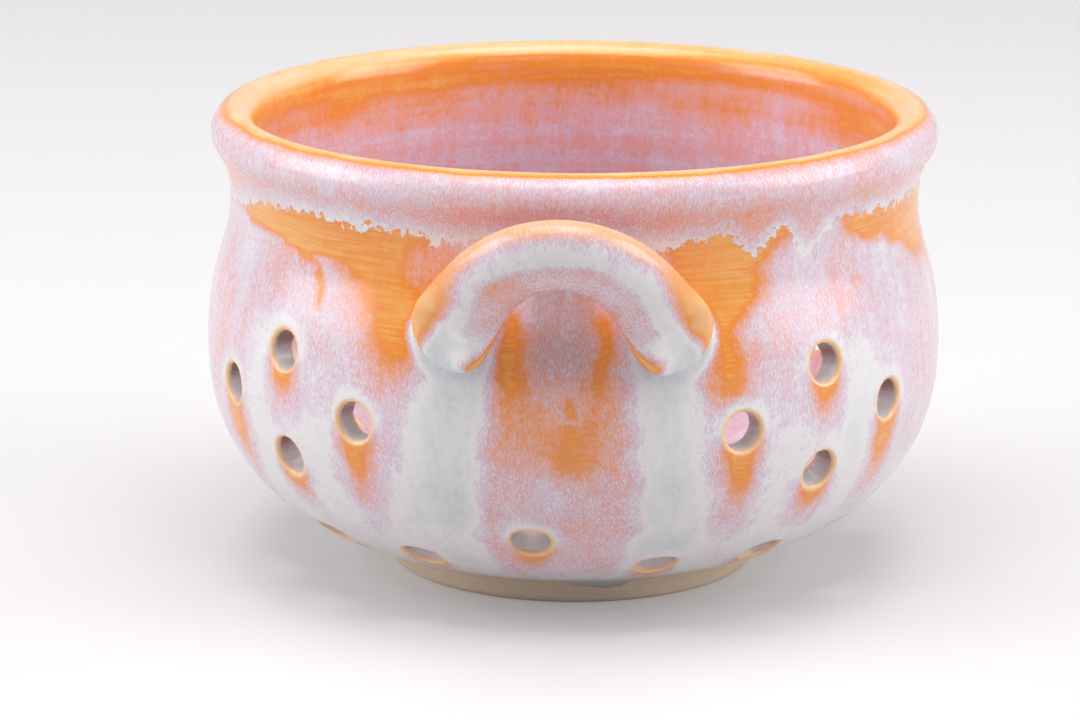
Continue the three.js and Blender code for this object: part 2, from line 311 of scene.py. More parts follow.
def wall_spots(holes):
    """Angle from the front handle in degrees, and height, of every hole in the wall."""
    turn, spread = math.degrees(holes.diamond_turn), math.degrees(holes.diamond_spread)
    spots = []
    for i in range(holes.diamonds):
        middle = 360 / holes.diamonds * (i + 0.5) + turn
        for end in (-1, 1):
            spots.append((middle + end * spread, holes.diamond_height))
            spots.append((middle, holes.diamond_height + end * holes.diamond_rise))
    for i in range(holes.low_holes):
        rise = holes.low_rise if i % (holes.low_holes // holes.diamonds) == 0 else 0
        turn = 360 / holes.low_holes * i + math.degrees(holes.low_turn)
        spots.append((turn, holes.low_height + rise))
    return spots


def hole_ends(body, holes):
    """Angle, and outer and inner middle in the profile's plane, of every hole in the wall and the floor."""
    ends = []
    for angle, height in wall_spots(holes):
        outer = Vector((wall_at(body, height)[0], 0, height))
        ends.append((angle, outer, through_wall(body, outer)))
    for i in range(holes.floor_holes + 1):
        outer = Vector((holes.floor_ring if i < holes.floor_holes else 0, 0, body.underside))
        ends.append((360 / holes.floor_holes * i, outer, outer + Vector((0, 0, body.floor))))
    return ends


def at_angle(spot, angle):
    """A spot of the profile's plane turned to an angle in degrees from the front handle."""
    side = Vector((math.sin(math.radians(angle)), -math.cos(math.radians(angle)), 0))
    return side * spot.x + Vector((0, 0, spot.z))


def drain_holes(body, holes):
    """Outer middle and outward axis of every drain hole, those of the wall first."""
    found = []
    for angle, outer, inner in hole_ends(body, holes):
        middle = at_angle(outer, angle)
        found.append((middle, (middle - at_angle(inner, angle)).normalized()))
    return found


# Small helpers of the modelling

def only(piece):
    """Selects one object alone and makes it the active one."""
    bpy.ops.object.select_all(action="DESELECT")
    piece.select_set(True)
    bpy.context.view_layer.objects.active = piece


def edit_mode():
    """Opens the active object in edit mode."""
    bpy.ops.object.mode_set(mode="EDIT")


def object_mode():
    """Leaves edit mode."""
    bpy.ops.object.mode_set(mode="OBJECT")


def faces_out():
    """Turns all faces of the mesh in edit mode outwards, and leaves edit mode."""
    bpy.ops.mesh.select_all(action="SELECT")
    bpy.ops.mesh.normals_make_consistent(inside=False)
    object_mode()


def press(value, reach):
    """Moves the selected vertices, those within reach of them less and less, and leaves edit mode."""
    bpy.ops.transform.translate(
        value=value, use_proportional_edit=True, proportional_edit_falloff="SMOOTH", proportional_size=reach)
    object_mode()


def fresh_mesh(name):
    """A new empty mesh object at the origin, in edit mode."""
    bpy.ops.object.select_all(action="DESELECT")
    bpy.ops.mesh.primitive_plane_add(size=MM)
    piece = bpy.context.object
    piece.name = name
    edit_mode()
    return piece


def turned_piece(name, profile, turns):
    """A profile drawn point by point in the XZ plane and spun round the Z axis."""
    piece = fresh_mesh(name)
    bpy.ops.mesh.merge(type="CENTER")
    bpy.ops.transform.translate(value=profile[0])
    for here, there in zip(profile, profile[1:]):
        bpy.ops.mesh.extrude_region_move(TRANSFORM_OT_translate={"value": there - here})
    bpy.ops.mesh.select_all(action="SELECT")
    bpy.ops.mesh.spin(steps=turns, angle=math.tau, center=(0, 0, 0), axis=(0, 0, 1))
    bpy.ops.mesh.select_all(action="SELECT")
    bpy.ops.mesh.remove_doubles(threshold=0.01 * MM)
    faces_out()
    return piece


def joined(name, pieces):
    """Several objects joined into one, which stays selected."""
    bpy.ops.object.select_all(action="DESELECT")
    for piece in pieces:
        piece.select_set(True)
    bpy.context.view_layer.objects.active = pieces[0]
    bpy.ops.object.join()
    bpy.context.object.name = name
    return bpy.context.object


def apply_modifier(piece, kind, **settings):
    """Adds a modifier to a piece with its settings and applies it."""
    only(piece)
    modifier = piece.modifiers.new(kind.title(), kind)
    for name, value in settings.items():
        setattr(modifier, name, value)
    bpy.ops.object.modifier_apply(modifier=modifier.name)


def places(piece):
    """The places of a mesh's vertices, one row each."""
    flat = np.empty(len(piece.data.vertices) * 3, np.float32)
    piece.data.vertices.foreach_get("co", flat)
    return flat.reshape(-1, 3).astype(float)


def select_vertices(piece, chosen):
    """Opens a piece in edit mode with only the chosen vertices selected."""
    only(piece)
    edit_mode()
    bpy.ops.mesh.select_mode(type="VERT")
    bpy.ops.mesh.select_all(action="DESELECT")
    object_mode()
    piece.data.vertices.foreach_set("select", np.asarray(chosen, bool))
    edit_mode()


def finish_piece(piece, node):
    """Shades a piece smooth, and puts it in a CAD node's place."""
    only(piece)
    bpy.ops.object.transform_apply(location=True, rotation=True, scale=True)
    bpy.ops.object.shade_smooth_by_angle(angle=math.radians(60))
    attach(piece, "root")
    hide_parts(node)


def to_hole(points, middle, axis):
    """Distance of points from a hole's axis, and how far along it they lie."""
    offset = points - np.array(middle)
    along = offset @ np.array(axis)
    return np.linalg.norm(offset - along[:, None] * np.array(axis), axis=1), along


class COLANDER_OT_bowl_body(bpy.types.Operator):
    """Throw the bowl, pierce its drain holes and sponge their lips round"""

    bl_idname = "colander.bowl_body"
    bl_label = "Bowl body"

    LIP_STEPS = 3  # faces over the quarter round of a lip
    DRIP_ANGLES = (3, 6.5, 10, 13.5, 17)  # degrees from the front handle
    DRIP_PULL = 1.4 * MM  # down, at each of those angles
    DRIP_INSET = 0.5 * MM  # towards the foot
    DRIP_GRIP = 1.2 * MM  # radius that is drawn the whole way
    DRIP_REACH = 3 * MM  # radius that follows less and less

    def execute(self, context):
        body, holes = context.scene.colander_body, context.scene.colander_holes
        profile = body_profile(body, holes)
        bowl = turned_piece("thrown_bowl", profile, body.turns)
        self.clear_holes(bowl, profile, body, holes)
        self.round_lips(bowl, holes)
        self.pierce(bowl, drain_holes(body, holes))
        apply_modifier(bowl, "SUBSURF", levels=1, render_levels=1)
        self.hang_drip(bowl, body)
        finish_piece(bowl, "bowl_body")
        return {"FINISHED"}

    def clear_holes(self, bowl, profile, body, holes):
        """Makes one wide face of the faces that each hole takes up, outside and inside."""
        points = places(bowl)
        radius = np.hypot(points[:, 0], points[:, 1])
        line = np.array([(p.x, p.z) for p in profile])
        row = np.argmin(np.hypot(radius[:, None] - line[:, 0], points[:, 2:] - line[:, 1]), axis=1)
        step = 360 / body.turns
        column = np.round(np.degrees(np.arctan2(points[:, 0], -points[:, 1])) / step)
        room = holes.radius + 2.8 * holes.lip
        chosen = np.zeros(len(points), bool)
        for angle, outer, inner in hole_ends(body, holes):
            reach = math.ceil(room / max(outer.x * math.radians(step), 0.1 * MM) - 1)
            apart = (column - round(angle / step) + body.turns / 2) % body.turns - body.turns / 2
            for spot in (outer, inner):
                middle = np.argmin(np.hypot(line[:, 0] - spot.x, line[:, 1] - spot.z))
                chosen |= (np.abs(row - middle) <= 1) & ((np.abs(apart) <= reach) | (spot.x == 0))
        select_vertices(bowl, chosen)
        bpy.ops.mesh.dissolve_faces()
        object_mode()

    def wide_faces(self, bowl):
        """The vertices of each face with more than four corners."""
        return [list(face.vertices) for face in bowl.data.polygons if face.loop_total > 4]

    def select_corners(self, bowl, faces):
        chosen = np.zeros(len(bowl.data.vertices), bool)
        for corners in faces:
            chosen[corners] = True
        select_vertices(bowl, chosen)

    def round_lips(self, bowl, holes):
        """Makes each wide face a circle, and sinks it into the wall in a quarter round."""
        margin = 0.6 * holes.lip
        faces = self.wide_faces(bowl)
        points = places(bowl)
        for corners in faces:
            middle = points[corners].mean(axis=0)
            size = np.linalg.norm(points[corners] - middle, axis=1).mean()
            # Smoothing will draw a ring of few corners in, so it starts wider.
            drawn_in = (2 + math.cos(math.tau / len(corners))) / 3
            share = (holes.radius + holes.lip + margin) / drawn_in / size
            self.select_corners(bowl, [corners])
            bpy.ops.transform.tosphere(value=1)
            bpy.ops.transform.resize(value=(share, share, share), center_override=middle)
            object_mode()
        self.select_corners(bowl, faces)
        bpy.ops.mesh.inset(thickness=margin, depth=0, use_individual=True)
        for i in range(self.LIP_STEPS):
            turn, after = [math.radians(90 / self.LIP_STEPS * step) for step in (i, i + 1)]
            bpy.ops.mesh.inset(
                thickness=holes.lip * (math.sin(after) - math.sin(turn)),
                depth=holes.lip * (math.cos(after) - math.cos(turn)), use_individual=True)
        object_mode()

    def pierce(self, bowl, drains):
        """Joins the two sunk faces of each hole into its shaft."""
        faces = self.wide_faces(bowl)
        points = places(bowl)
        middles = np.array([points[corners].mean(axis=0) for corners in faces])
        for middle, axis in drains:
            apart, along = to_hole(middles, middle, axis)
            pair = np.argsort(apart + (np.abs(along) > 14 * MM))[:2]
            self.select_corners(bowl, [faces[i] for i in pair])
            bpy.ops.mesh.bridge_edge_loops(number_cuts=1)
            object_mode()
        edit_mode()
        faces_out()

    def hang_drip(self, bowl, body):
        """Draws the glazed edge down over the foot in one wide drip near the front."""
        edge = Vector((body.base_radius, 0, body.underside))
        for angle in self.DRIP_ANGLES:
            spot = at_angle(edge, angle)
            select_vertices(bowl, np.linalg.norm(places(bowl) - np.array(spot), axis=1) < self.DRIP_GRIP)
            inward = -self.DRIP_INSET * Vector((spot.x, spot.y, 0)).normalized()
            press(inward - Vector((0, 0, self.DRIP_PULL)), self.DRIP_REACH)


class COLANDER_OT_foot_ring(bpy.types.Operator):
    """Trim the bare foot ring that the bowl stands on"""

    bl_idname = "colander.foot_ring"
    bl_label = "Foot ring"

    def execute(self, context):
        foot = context.scene.colander_foot
        ring = turned_piece("trimmed_foot", self.profile(foot), foot.turns)
        apply_modifier(ring, "SUBSURF", levels=1, render_levels=1)
        ring.data.materials.append(bare_clay(context.scene.colander_finish))
        finish_piece(ring, "foot_ring")
        return {"FINISHED"}

    def profile(self, foot):
        """The ring's closed profile, from the inner edge of its tread outwards and round."""
        tread = foot.radius - foot.taper
        edge = foot.outer_round
        start = (foot.hollow + foot.inner_round, 0)
        points = [
            start,
            (tread - 4 * edge, 0),
            (tread - edge, 0),
            (tread - 0.3 * edge, 0.3 * edge),
            (tread, edge),
            (tread + 0.3 * foot.taper, 0.4 * foot.height),
            (tread + 0.7 * foot.taper, 0.7 * foot.height),
            (foot.radius, foot.height),
            (foot.radius - edge, foot.height),
            (foot.hollow + edge, foot.height),
            (foot.hollow, foot.height),
            (foot.hollow, foot.height - edge),
            (foot.hollow, foot.inner_round),
            (foot.hollow + 0.3 * foot.inner_round, 0.3 * foot.inner_round),
            start,
        ]
        return [Vector((radius, 0, height)) for radius, height in points]


class COLANDER_OT_handles(bpy.types.Operator):
    """Pull the strap handles, press their roots with a thumb and lute them to the wall"""

    bl_idname = "colander.handles"
    bl_label = "Handles"

    RINGS = 30  # along the strap
    SIDES = 20  # round it
    THUMB_RING = 6  # from each end

    def execute(self, context):
        body, sizes = context.scene.colander_body, context.scene.colander_handles
        stations = strap_stations(body, sizes, self.RINGS)
        rings = []
        for middle, turn, half_width, half_depth in stations:
            bpy.ops.mesh.primitive_circle_add(
                vertices=self.SIDES, radius=1, location=middle, rotation=turn.to_euler())
            bpy.context.object.scale = (half_width, half_depth, 1)
            rings.append(bpy.context.object)
        front = joined("pulled_handle_front", rings)
        bpy.ops.object.transform_apply(location=True, rotation=True, scale=True)
        edit_mode()
        bpy.ops.mesh.select_all(action="SELECT")
        bpy.ops.mesh.bridge_edge_loops()
        bpy.ops.mesh.select_all(action="SELECT")
        bpy.ops.mesh.fill_holes(sides=0)
        faces_out()
        for middle, turn, _, half_depth in (stations[self.THUMB_RING], stations[-1 - self.THUMB_RING]):
            outward = turn @ Vector((0, 1, 0))
            spot = middle + outward * half_depth
            apart = np.linalg.norm(places(front) - np.array(spot), axis=1)
            select_vertices(front, apart < sizes.thumb_radius)
            press(outward * -sizes.thumb_dent, sizes.thumb_edge)
        apply_modifier(front, "SUBSURF", levels=2, render_levels=2)
        bpy.ops.object.duplicate()
        back = bpy.context.object
        back.name = "pulled_handle_back"
        bpy.ops.transform.rotate(value=math.pi, orient_axis="Z", center_override=(0, 0, 0))
        for handle, node in ((front, "handle_front"), (back, "handle_back")):
            finish_piece(handle, node)
            self.lute(handle, bpy.data.objects["thrown_bowl"], body, sizes)
        return {"FINISHED"}

    def lute(self, handle, bowl, body, sizes):
        """Raises the wall round a handle's roots, as the slip and the pooled glaze do."""
        close = nearest(places(bowl), places(handle)) < 3 * sizes.fillet_width
        select_vertices(bowl, close & self.outside(bowl, body))
        bpy.ops.mesh.subdivide(number_cuts=2)
        object_mode()
        group = bowl.vertex_groups.new(name="lute")
        group.add(np.flatnonzero(self.outside(bowl, body)).tolist(), 1.0, "REPLACE")
        apply_modifier(
            bowl, "VERTEX_WEIGHT_PROXIMITY", vertex_group="lute", target=handle,
            proximity_mode="GEOMETRY", proximity_geometry={"FACE"},
            min_dist=sizes.fillet_width, max_dist=0, falloff_type="SHARP")
        apply_modifier(
            bowl, "DISPLACE", direction="NORMAL", mid_level=0, strength=sizes.fillet, vertex_group="lute")
        bowl.vertex_groups.remove(bowl.vertex_groups["lute"])

    def outside(self, bowl, body):
        """Which vertices of the bowl lie on the outer wall."""
        points = places(bowl)
        heights, radii, _ = wall_line(body)
        return np.hypot(points[:, 0], points[:, 1]) > np.interp(points[:, 2], heights, radii) - 1 * MM


def strap_stations(body, sizes, count):
    """Middle, turn, half width and half depth of each ring along the front handle's strap."""
    side = sizes.span / 2
    wall = math.sqrt(wall_at(body, sizes.root_height)[0] ** 2 - side ** 2)
    top = Vector((0, -sizes.reach, sizes.top_height))
    line = []
    for end in (-1, 1):
        root = Vector((end * side, -wall, sizes.root_height))
        leg = root + Vector((-end * sizes.leg_in, -sizes.leg_out, sizes.leg_up))
        arch = Vector((end * sizes.arch_pull, top.y, top.z))
        half = interpolate_bezier(root, leg, arch, top, STRAP_STEPS)
        line += half if end < 0 else half[-2::-1]
    line = np.array(line)
    run = np.concatenate([[0], np.cumsum(np.linalg.norm(np.diff(line, axis=0), axis=1))])
    lean = top - Vector((0, -wall, sizes.root_height))
    face = Vector((0, -lean.z, lean.y)).normalized()
    stations = []
    nudge = 0.004
    for i in range(count + 1):
        share = 0.5 - 0.5 * math.cos(math.pi * i / count)
        spot, ahead, behind = [
            Vector([np.interp(s * run[-1], run, line[:, k]) for k in range(3)])
            for s in (share, min(1, share + nudge), max(0, share - nudge))]
        along = (ahead - behind).normalized()
        root = smooth(abs(share - 0.5) * 2, 0.5, 0.9)
        _, out, up = wall_at(body, min(spot.z, body.neck_height))
        seat = Vector((spot.x, spot.y, 0)).normalized() * out + Vector((0, 0, up))
        outward = face.lerp(seat, root)
        outward = (outward - along * outward.dot(along)).normalized()
        across = outward.cross(along)
        turn = Matrix((across, outward, along)).transposed()
        closing = max(0, 1 - min(share, 1 - share) * run[-1] / sizes.root_round)
        fullness = max(0.05, math.sqrt(1 - closing ** 2))
        width = (sizes.strap_width + (sizes.root_width - sizes.strap_width) * root) * fullness
        depth = (sizes.strap_depth + (sizes.root_depth - sizes.strap_depth) * root) * fullness
        stations.append((spot, turn, width / 2, depth / 2))
    return stations


def smooth(value, low, high):
    """A soft step from 0 at low to 1 at high, for a number or an array."""
    share = np.clip((value - low) / (high - low), 0, 1)
    return share * share * (3 - 2 * share)


# Glaze and clay

# How thick the glaze lies in some places, from 0 for none to 1 for a pool
ON_SHOULDER = 0.58
MORE_LOW_DOWN = 0.17
OVER_HOLES = 0.74
ROUND_ROOTS = 0.96
NEAR_FOOT = 0.7
UNDER_LIP = 0.27
ON_RIM_ROLL = 0.45
ON_STRAP = 0.51
STRAP_WHITE = 0.72
STRAP_EDGE = 0.36
LUG_EDGE_LESS = 0.18
LUG_PAD = 0.86
LUG_LIP = 0.16
LUG_END = 0.88

# How far the glaze runs down under a drain hole, in millimetres: at the sides of a diamond, and elsewhere
LONG_RUN = 30
SHORT_RUN = 18

# Such a run, its pink first and then its orange core: how thick it lies, its half width at the top and at the
# end and the softness of its sides in millimetres, and where it ends as a share of the whole run.
HOLE_RUNS = (
    (0.47, 6.4, 5, 3.5, 1.0),
    (0.21, 5, 2, 2.2, 0.6),
)


class COLANDER_OT_glaze(bpy.types.Operator):
    """Glaze the bowl and its handles: how thick the glaze lies, and where the rim's coat ends"""

    bl_idname = "colander.glaze"
    bl_label = "Glaze"

    STRAP_RINGS = 180  # places along a strap that its glaze is laid by
    COAT_EDGE = 91.5  # height in millimetres where the rim's coat ends between its drips

    def execute(self, context):
        scene = context.scene
        material = flowing_glaze(scene.colander_finish)
        bowl = bpy.data.objects["thrown_bowl"]
        handles = [bpy.data.objects["pulled_handle_" + end] for end in ("front", "back")]
        self.glaze_bowl(bowl, handles, scene)
        for handle, turn in zip(handles, (1, -1)):
            self.glaze_handle(handle, turn, scene)
        for piece in (bowl, *handles):
            piece.data.materials.append(material)
        return {"FINISHED"}

    def store(self, piece, *layers):
        """Keeps a number at each vertex of a piece for each of the layers that the glaze reads."""
        for name, values in zip(GLAZE_LAYERS, layers):
            layer = piece.data.attributes.new(name, "FLOAT", "POINT")
            layer.data.foreach_set("value", np.asarray(values, np.float32))

    def glaze_bowl(self, bowl, handles, scene):
        body, holes = scene.colander_body, scene.colander_holes
        points = places(bowl)
        radius = np.hypot(points[:, 0], points[:, 1])
        height = points[:, 2]
        turn = np.degrees(np.arctan2(points[:, 0], -points[:, 1]))
        side = np.where(np.abs(turn) <= 90, turn, np.sign(turn) * 180 - turn)
        heights, radii, lengths = wall_line(body)
        rim_middle = body.rim_radius - body.rim_width / 2
        in_wall = smooth(np.interp(height, heights, radii) - radius, 2 * MM, 4 * MM)
        in_neck = smooth(rim_middle - radius, 0, 2 * MM)
        inside = np.where(height > body.neck_height + 8 * MM, in_neck, in_wall)

        # Outside, the glaze has run: pink on the shoulder, pale and thick low down.
        drift = side + 1.6 * wobble(points, 7 * MM, 0)
        level = height / MM + 2 * wobble(points, 6 * MM, 40)
        thick = ON_SHOULDER + 0.08 * wobble(points, 20 * MM, 80) + MORE_LOW_DOWN * smooth(44 - level, 0, 26)
        arc = math.radians(1) * body.belly_radius / MM
        for value, soft, rows in GLAZE_STREAMS:
            levels, left, right = np.array(sorted(rows), float).T
            sides = drift - np.interp(level, levels, left), np.interp(level, levels, right) - drift
            ends = level - levels[0], levels[-1] - level
            within = np.minimum(np.minimum(*sides) * arc, np.minimum(*ends))
            thick += (value - thick) * smooth(within, -soft, soft)
        down = np.interp(height, heights, lengths)
        drains = drain_holes(body, holes)
        for middle, axis in drains:
            start = np.interp(middle.z, heights, lengths)
            at_side = abs(middle.z - holes.diamond_height) < 1 * MM
            reach = LONG_RUN if at_side else SHORT_RUN
            thick = self.round_hole(thick, points, start - down, middle, axis, reach)
        pool = np.zeros(len(points))
        for handle in handles:
            near = nearest(points, places(handle))
            pool = np.maximum(pool, 1 - smooth(near, 0.8 * MM, 4 * MM))
        thick += (ROUND_ROOTS - thick) * pool
        thick += (NEAR_FOOT - thick) * smooth(12 * MM - height, 0, 5 * MM) * (1 - inside)
        thick += (1 - thick) * smooth(body.underside + 1 * MM - height, 0, 1 * MM) * (1 - inside)

        # Inside, orange under the lip and mauve below it.
        shift = 6 * wobble(points * np.array([1, 1, 2.5]), 20 * MM, 120)
        within = UNDER_LIP + 0.2 * smooth(100 - height / MM + shift, 0, 12)
        within += 0.13 * smooth(92 - height / MM, 0, 24)
        thick += (within - thick) * inside
        bare = np.zeros(len(points))
        # Painted shade: a dark grey-brown on the wall under the front and back arches, and over the upper
        # half of each hole's shaft.
        shade_under_arch = smooth(7 - np.abs(side), 0, 4) * smooth(level, 54, 70) * smooth(88 - level, 0, 6)
        painted_shade = 0.4 * shade_under_arch * (1 - inside)
        for middle, axis in drains:
            eye, shaft, lower = self.in_hole(points, middle, axis, holes, body.wall)
            thick += (0.3 + 0.5 * lower - thick) * eye * shaft
            bare = np.maximum(bare, eye * (1 - shaft))
            painted_shade = np.maximum(painted_shade, eye * shaft * (1 - 0.8 * lower))

        # The rim's own coat: orange on the lip, speckled pink on the roll, and no coat of its own inside.
        roll = np.degrees(np.arctan2(height - body.height + body.rim_height / 2, radius - rim_middle))
        roll = np.where(roll < -90, roll + 360, roll)
        coat = ON_RIM_ROLL + 0.1 * smooth(roll, -60, 10) - 0.42 * smooth(roll, 42, 88)
        coat += 0.14 * smooth(roll, 125, 165)
        coat += (thick - coat) * inside * smooth(body.height - height, 5 * MM, 9 * MM)
        edge = np.full(len(points), self.COAT_EDGE)
        for middle, width, drop in RIM_DRIPS:
            edge -= drop * np.exp(-((side - middle) / width) ** 2)
        self.store(bowl, thick, coat, height / MM - edge, inside, bare, painted_shade, 1 - 0.6 * inside)

    def round_hole(self, thick, points, below, middle, axis, reach):
        """Glaze round one hole: thick above it, and an orange run with pink sides below."""
        apart, along = to_hole(points, middle, axis)
        sideways = Vector((-middle.y, middle.x, 0)).normalized()
        across = np.abs((points - np.array(middle)) @ np.array(sideways)) / MM
        across += 0.6 * wobble(points, 5 * MM, 240)
        close = (np.abs(along) < 18 * MM) & (apart < 45 * MM)
        halo = (1 - smooth(apart, 5 * MM, 9 * MM)) * smooth(-below, -5 * MM, 3 * MM) * close
        thick = thick + (OVER_HOLES - thick) * halo
        share = below / MM / reach
        for value, wide, narrow, soft, end in HOLE_RUNS:
            width = wide + (narrow - wide) * np.clip(share / end, 0, 1)
            run = (1 - smooth(across, width - soft, width + soft)) * smooth(below, 0, 4 * MM)
            run = run * (1 - smooth(share, 0.5 * end, 1.3 * end)) * close
            thick = thick + (value + 0.1 * np.clip(share, 0, 1) - thick) * run
        return thick

    def in_hole(self, points, middle, axis, holes, wall):
        """How far each point lies on a hole, in its shaft, and in the lower half of that."""
        apart, along = to_hole(points, middle, axis)
        eye = 1 - smooth(apart, holes.radius + 0.9 * holes.lip, holes.radius + 1.5 * holes.lip)
        eye = eye * (along < 3 * MM) * (along > -wall - 6 * MM)
        shaft = smooth(-along, 0.5 * holes.lip, 1.6 * holes.lip) * smooth(along + wall, 0, 1 * MM)
        lower = smooth((middle.z - points[:, 2] + along * axis.z) / holes.radius, -0.7, 0.4)
        return eye, shaft, lower

    def glaze_handle(self, handle, turn, scene):
        """Orange over the outer edge of the strap, white along its front and mauve below that."""
        points = places(handle)
        stations = strap_stations(scene.colander_body, scene.colander_handles, self.STRAP_RINGS)
        middles = np.array([station[0] for station in stations])
        facing = points * np.array([turn, turn, 1])
        ring = np.argmin(np.linalg.norm(facing[:, None] - middles[None], axis=2), axis=1)
        frames = np.array([np.array(station[1]) for station in stations])[ring]
        offset = np.einsum("nk,nkj->nj", facing - middles[ring], frames)
        # Round the strap, 0 is its front and 90 its outer edge.
        roundabout = np.degrees(np.arctan2(offset[:, 0], offset[:, 1])) + 6 * wobble(points, 9 * MM, 160)
        share = np.abs(np.cos(np.pi * ring / (len(stations) - 1)))
        leg = smooth(share, 0.3, 0.7)
        root = smooth(share, 0.6, 0.8)
        end = smooth(share, 0.86, 0.96)
        thick = ON_STRAP + 0.06 * wobble(points, 9 * MM, 200)
        thick += (STRAP_WHITE - thick) * (1 - smooth(np.abs(roundabout - 50 + 41 * leg), 14, 34))
        start = 74 - 33 * leg
        thick += (STRAP_EDGE - LUG_EDGE_LESS * leg - thick) * smooth(roundabout, start - 26, start + 26)
        thick += (LUG_PAD - thick) * root * (1 - smooth(np.abs(roundabout + 14), 28, 78))
        thick += (LUG_LIP - thick) * leg * np.exp(-((roundabout + 82) / 8) ** 2) * (1 - end)
        thick += (LUG_END - thick) * end * (1 - smooth(np.abs(roundabout + 20), 40, 90))
        bare = 0.5 * smooth(roundabout, start - 8, start + 24) * (1 - 0.8 * leg)
        plain = np.zeros(len(points))
        self.store(handle, thick, thick, plain - 20, plain, bare, plain, plain)


# What the glaze reads at each vertex: how thick it lies, how thick the rim's coat lies over it, the height in
# millimetres over the edge of that coat, 1 inside the bowl, 1 where the glaze has drawn back from a lip,
# 1 where shade is painted in, in the holes and under the arches, and how strong the throwing lines are under
# it.
GLAZE_LAYERS = (
    "glaze_thickness", "rim_coat", "above_drip_edge", "inside_bowl", "bare_lip", "painted_shade_layer",
    "throwing_lines")

# Thickness of the glaze at which each of its colours is purest
GLAZE_COLOURS = {
    "bare_edge": 0.0, "thin_edge": 0.08, "light_orange": 0.18, "orange": 0.28, "salmon": 0.38,
    "pink": 0.48, "lilac": 0.6, "white": 0.72, "pale": 0.84, "pool": 1.0,
}

# Where the glaze has run thinner or thicker: how thick it lies, how soft the edge is in millimetres, and
# its left and right edge in degrees from the front handle at some heights in millimetres.
GLAZE_STREAMS = [
    (0.86, 7, [
        (14, -33, -15), (24, -30, -14), (33, -26, -12), (45, -23, -10), (58, -22, -11), (68, -20, -13)]),
    (0.86, 7, [(14, 13, 27), (29, 12, 22), (45, 11, 20), (60, 10, 20), (68, 13, 19)]),
    (0.74, 6, [(14, -54, -40), (28, -52, -40), (46, -60, -36), (56, -58, -50), (66, -56, -52)]),
    (0.74, 6, [(14, 34, 56), (26, 30, 56), (46, 32, 54), (56, 44, 52), (66, 48, 52)]),
    (0.47, 4, [(12, -12, 10), (28, -13, 12), (42, -10, 10), (56, -10, 9), (76, -11, 9)]),
    (0.23, 8, [
        (60, -28, -23), (70, -32, -21), (77, -34, -20), (82, -39, -20), (86, -66, -19), (98, -90, -18)]),
    (0.4, 3, [(80, -24, -18), (84, -25, -16), (88, -24, -15)]),
    (0.24, 1, [(72, -42.4, -40.8), (76, -42.9, -40.8), (79, -44.1, -41.7), (81, -43.7, -42.4)]),
    (0.23, 5.5, [
        (57, 24, 26), (60, 22, 28), (66, 22, 28), (70, 21, 27),
        (74, 20, 29), (77, 18, 33), (84, 15, 33), (98, 14, 46)]),
    (0.25, 4, [(74, 76, 84), (80, 70, 92), (84, 57, 100), (88, 51, 100), (98, 44, 100)]),
    (0.24, 3.2, [(56, -9.5, -6), (62, -10, -5), (73, -9.5, -5), (78, -9, -6)]),
    (0.26, 3.2, [(57, 5, 7), (63, 4, 7.5), (73, 4, 7), (78, 4.5, 6.5)]),
    (0.58, 4, [(30, -8, 7), (34, -10, 8), (40, -10, 8), (43, -8, 6)]),
    (0.4, 6, [(40, -6, 4), (45, -10, 8), (52, -11, 8), (58, -10, 6)]),
    (0.29, 5, [(41, 0, 3), (44, -2, 5), (49, -2, 6), (53, 0, 4)]),
    # Under the arches the glaze is set thinner and darker pink, partly its own colour and partly painted
    # shade under the arch.
    (0.46, 2.2, [(54, -1, 2), (57, -3, 4), (66, -4, 4), (80, -5, 4.5)]),
    (0.24, 0.8, [(55, 0.4, 1.2), (57, 0.2, 1.8), (59, 0.6, 1.6)]),
]

# Drips of the rim's coat over the neck: angle from the front handle and width in degrees, and drop in
# millimetres.
RIM_DRIPS = [
    (-72, 10, 4),
    (-20, 4, 1.5),
    (15, 5, 2),
    (31, 3, 5),
    (37, 2.5, -1),
    (41.5, 3.5, 6.5),
    (66, 12, 1),
]


def wobble(points, size, shift):
    """Smooth noise from -1 to 1 at each point, in lumps of about a size in metres."""
    return np.array([noise.noise(Vector(spot) / size + Vector((shift, 0, 0))) for spot in points])


def nearest(points, others):
    """Distance of each point from the nearest of other points."""
    tree = KDTree(len(others))
    for i, other in enumerate(others):
        tree.insert(other, i)
    tree.balance()
    return np.array([tree.find(point)[2] for point in points])


def add_node(tree, kind, inputs, output=0, **settings):
    """Adds a shader node with its settings, links or sets its inputs, and gives one of its outputs."""
    node = tree.nodes.new("ShaderNode" + kind)
    for name, value in settings.items():
        setattr(node, name, value)
    for socket, value in inputs.items():
        if isinstance(value, bpy.types.NodeSocket):
            tree.links.new(value, node.inputs[socket])
        else:
            node.inputs[socket].default_value = value
    return node.outputs[output] if node.outputs else None


def new_material(name):
    """A new material with an empty node tree."""
    material = bpy.data.materials.new(name)
    material.use_nodes = True
    material.node_tree.nodes.clear()
    return material


def set_ramp(ramp, stops):
    """Gives a colour ramp its stops, each a place and a colour."""
    elements = ramp.node.color_ramp.elements
    while len(elements) < len(stops):
        elements.new(0.5)
    for element, (place, tint) in zip(elements, stops):
        element.position = place
        element.color = (*tint, 1)


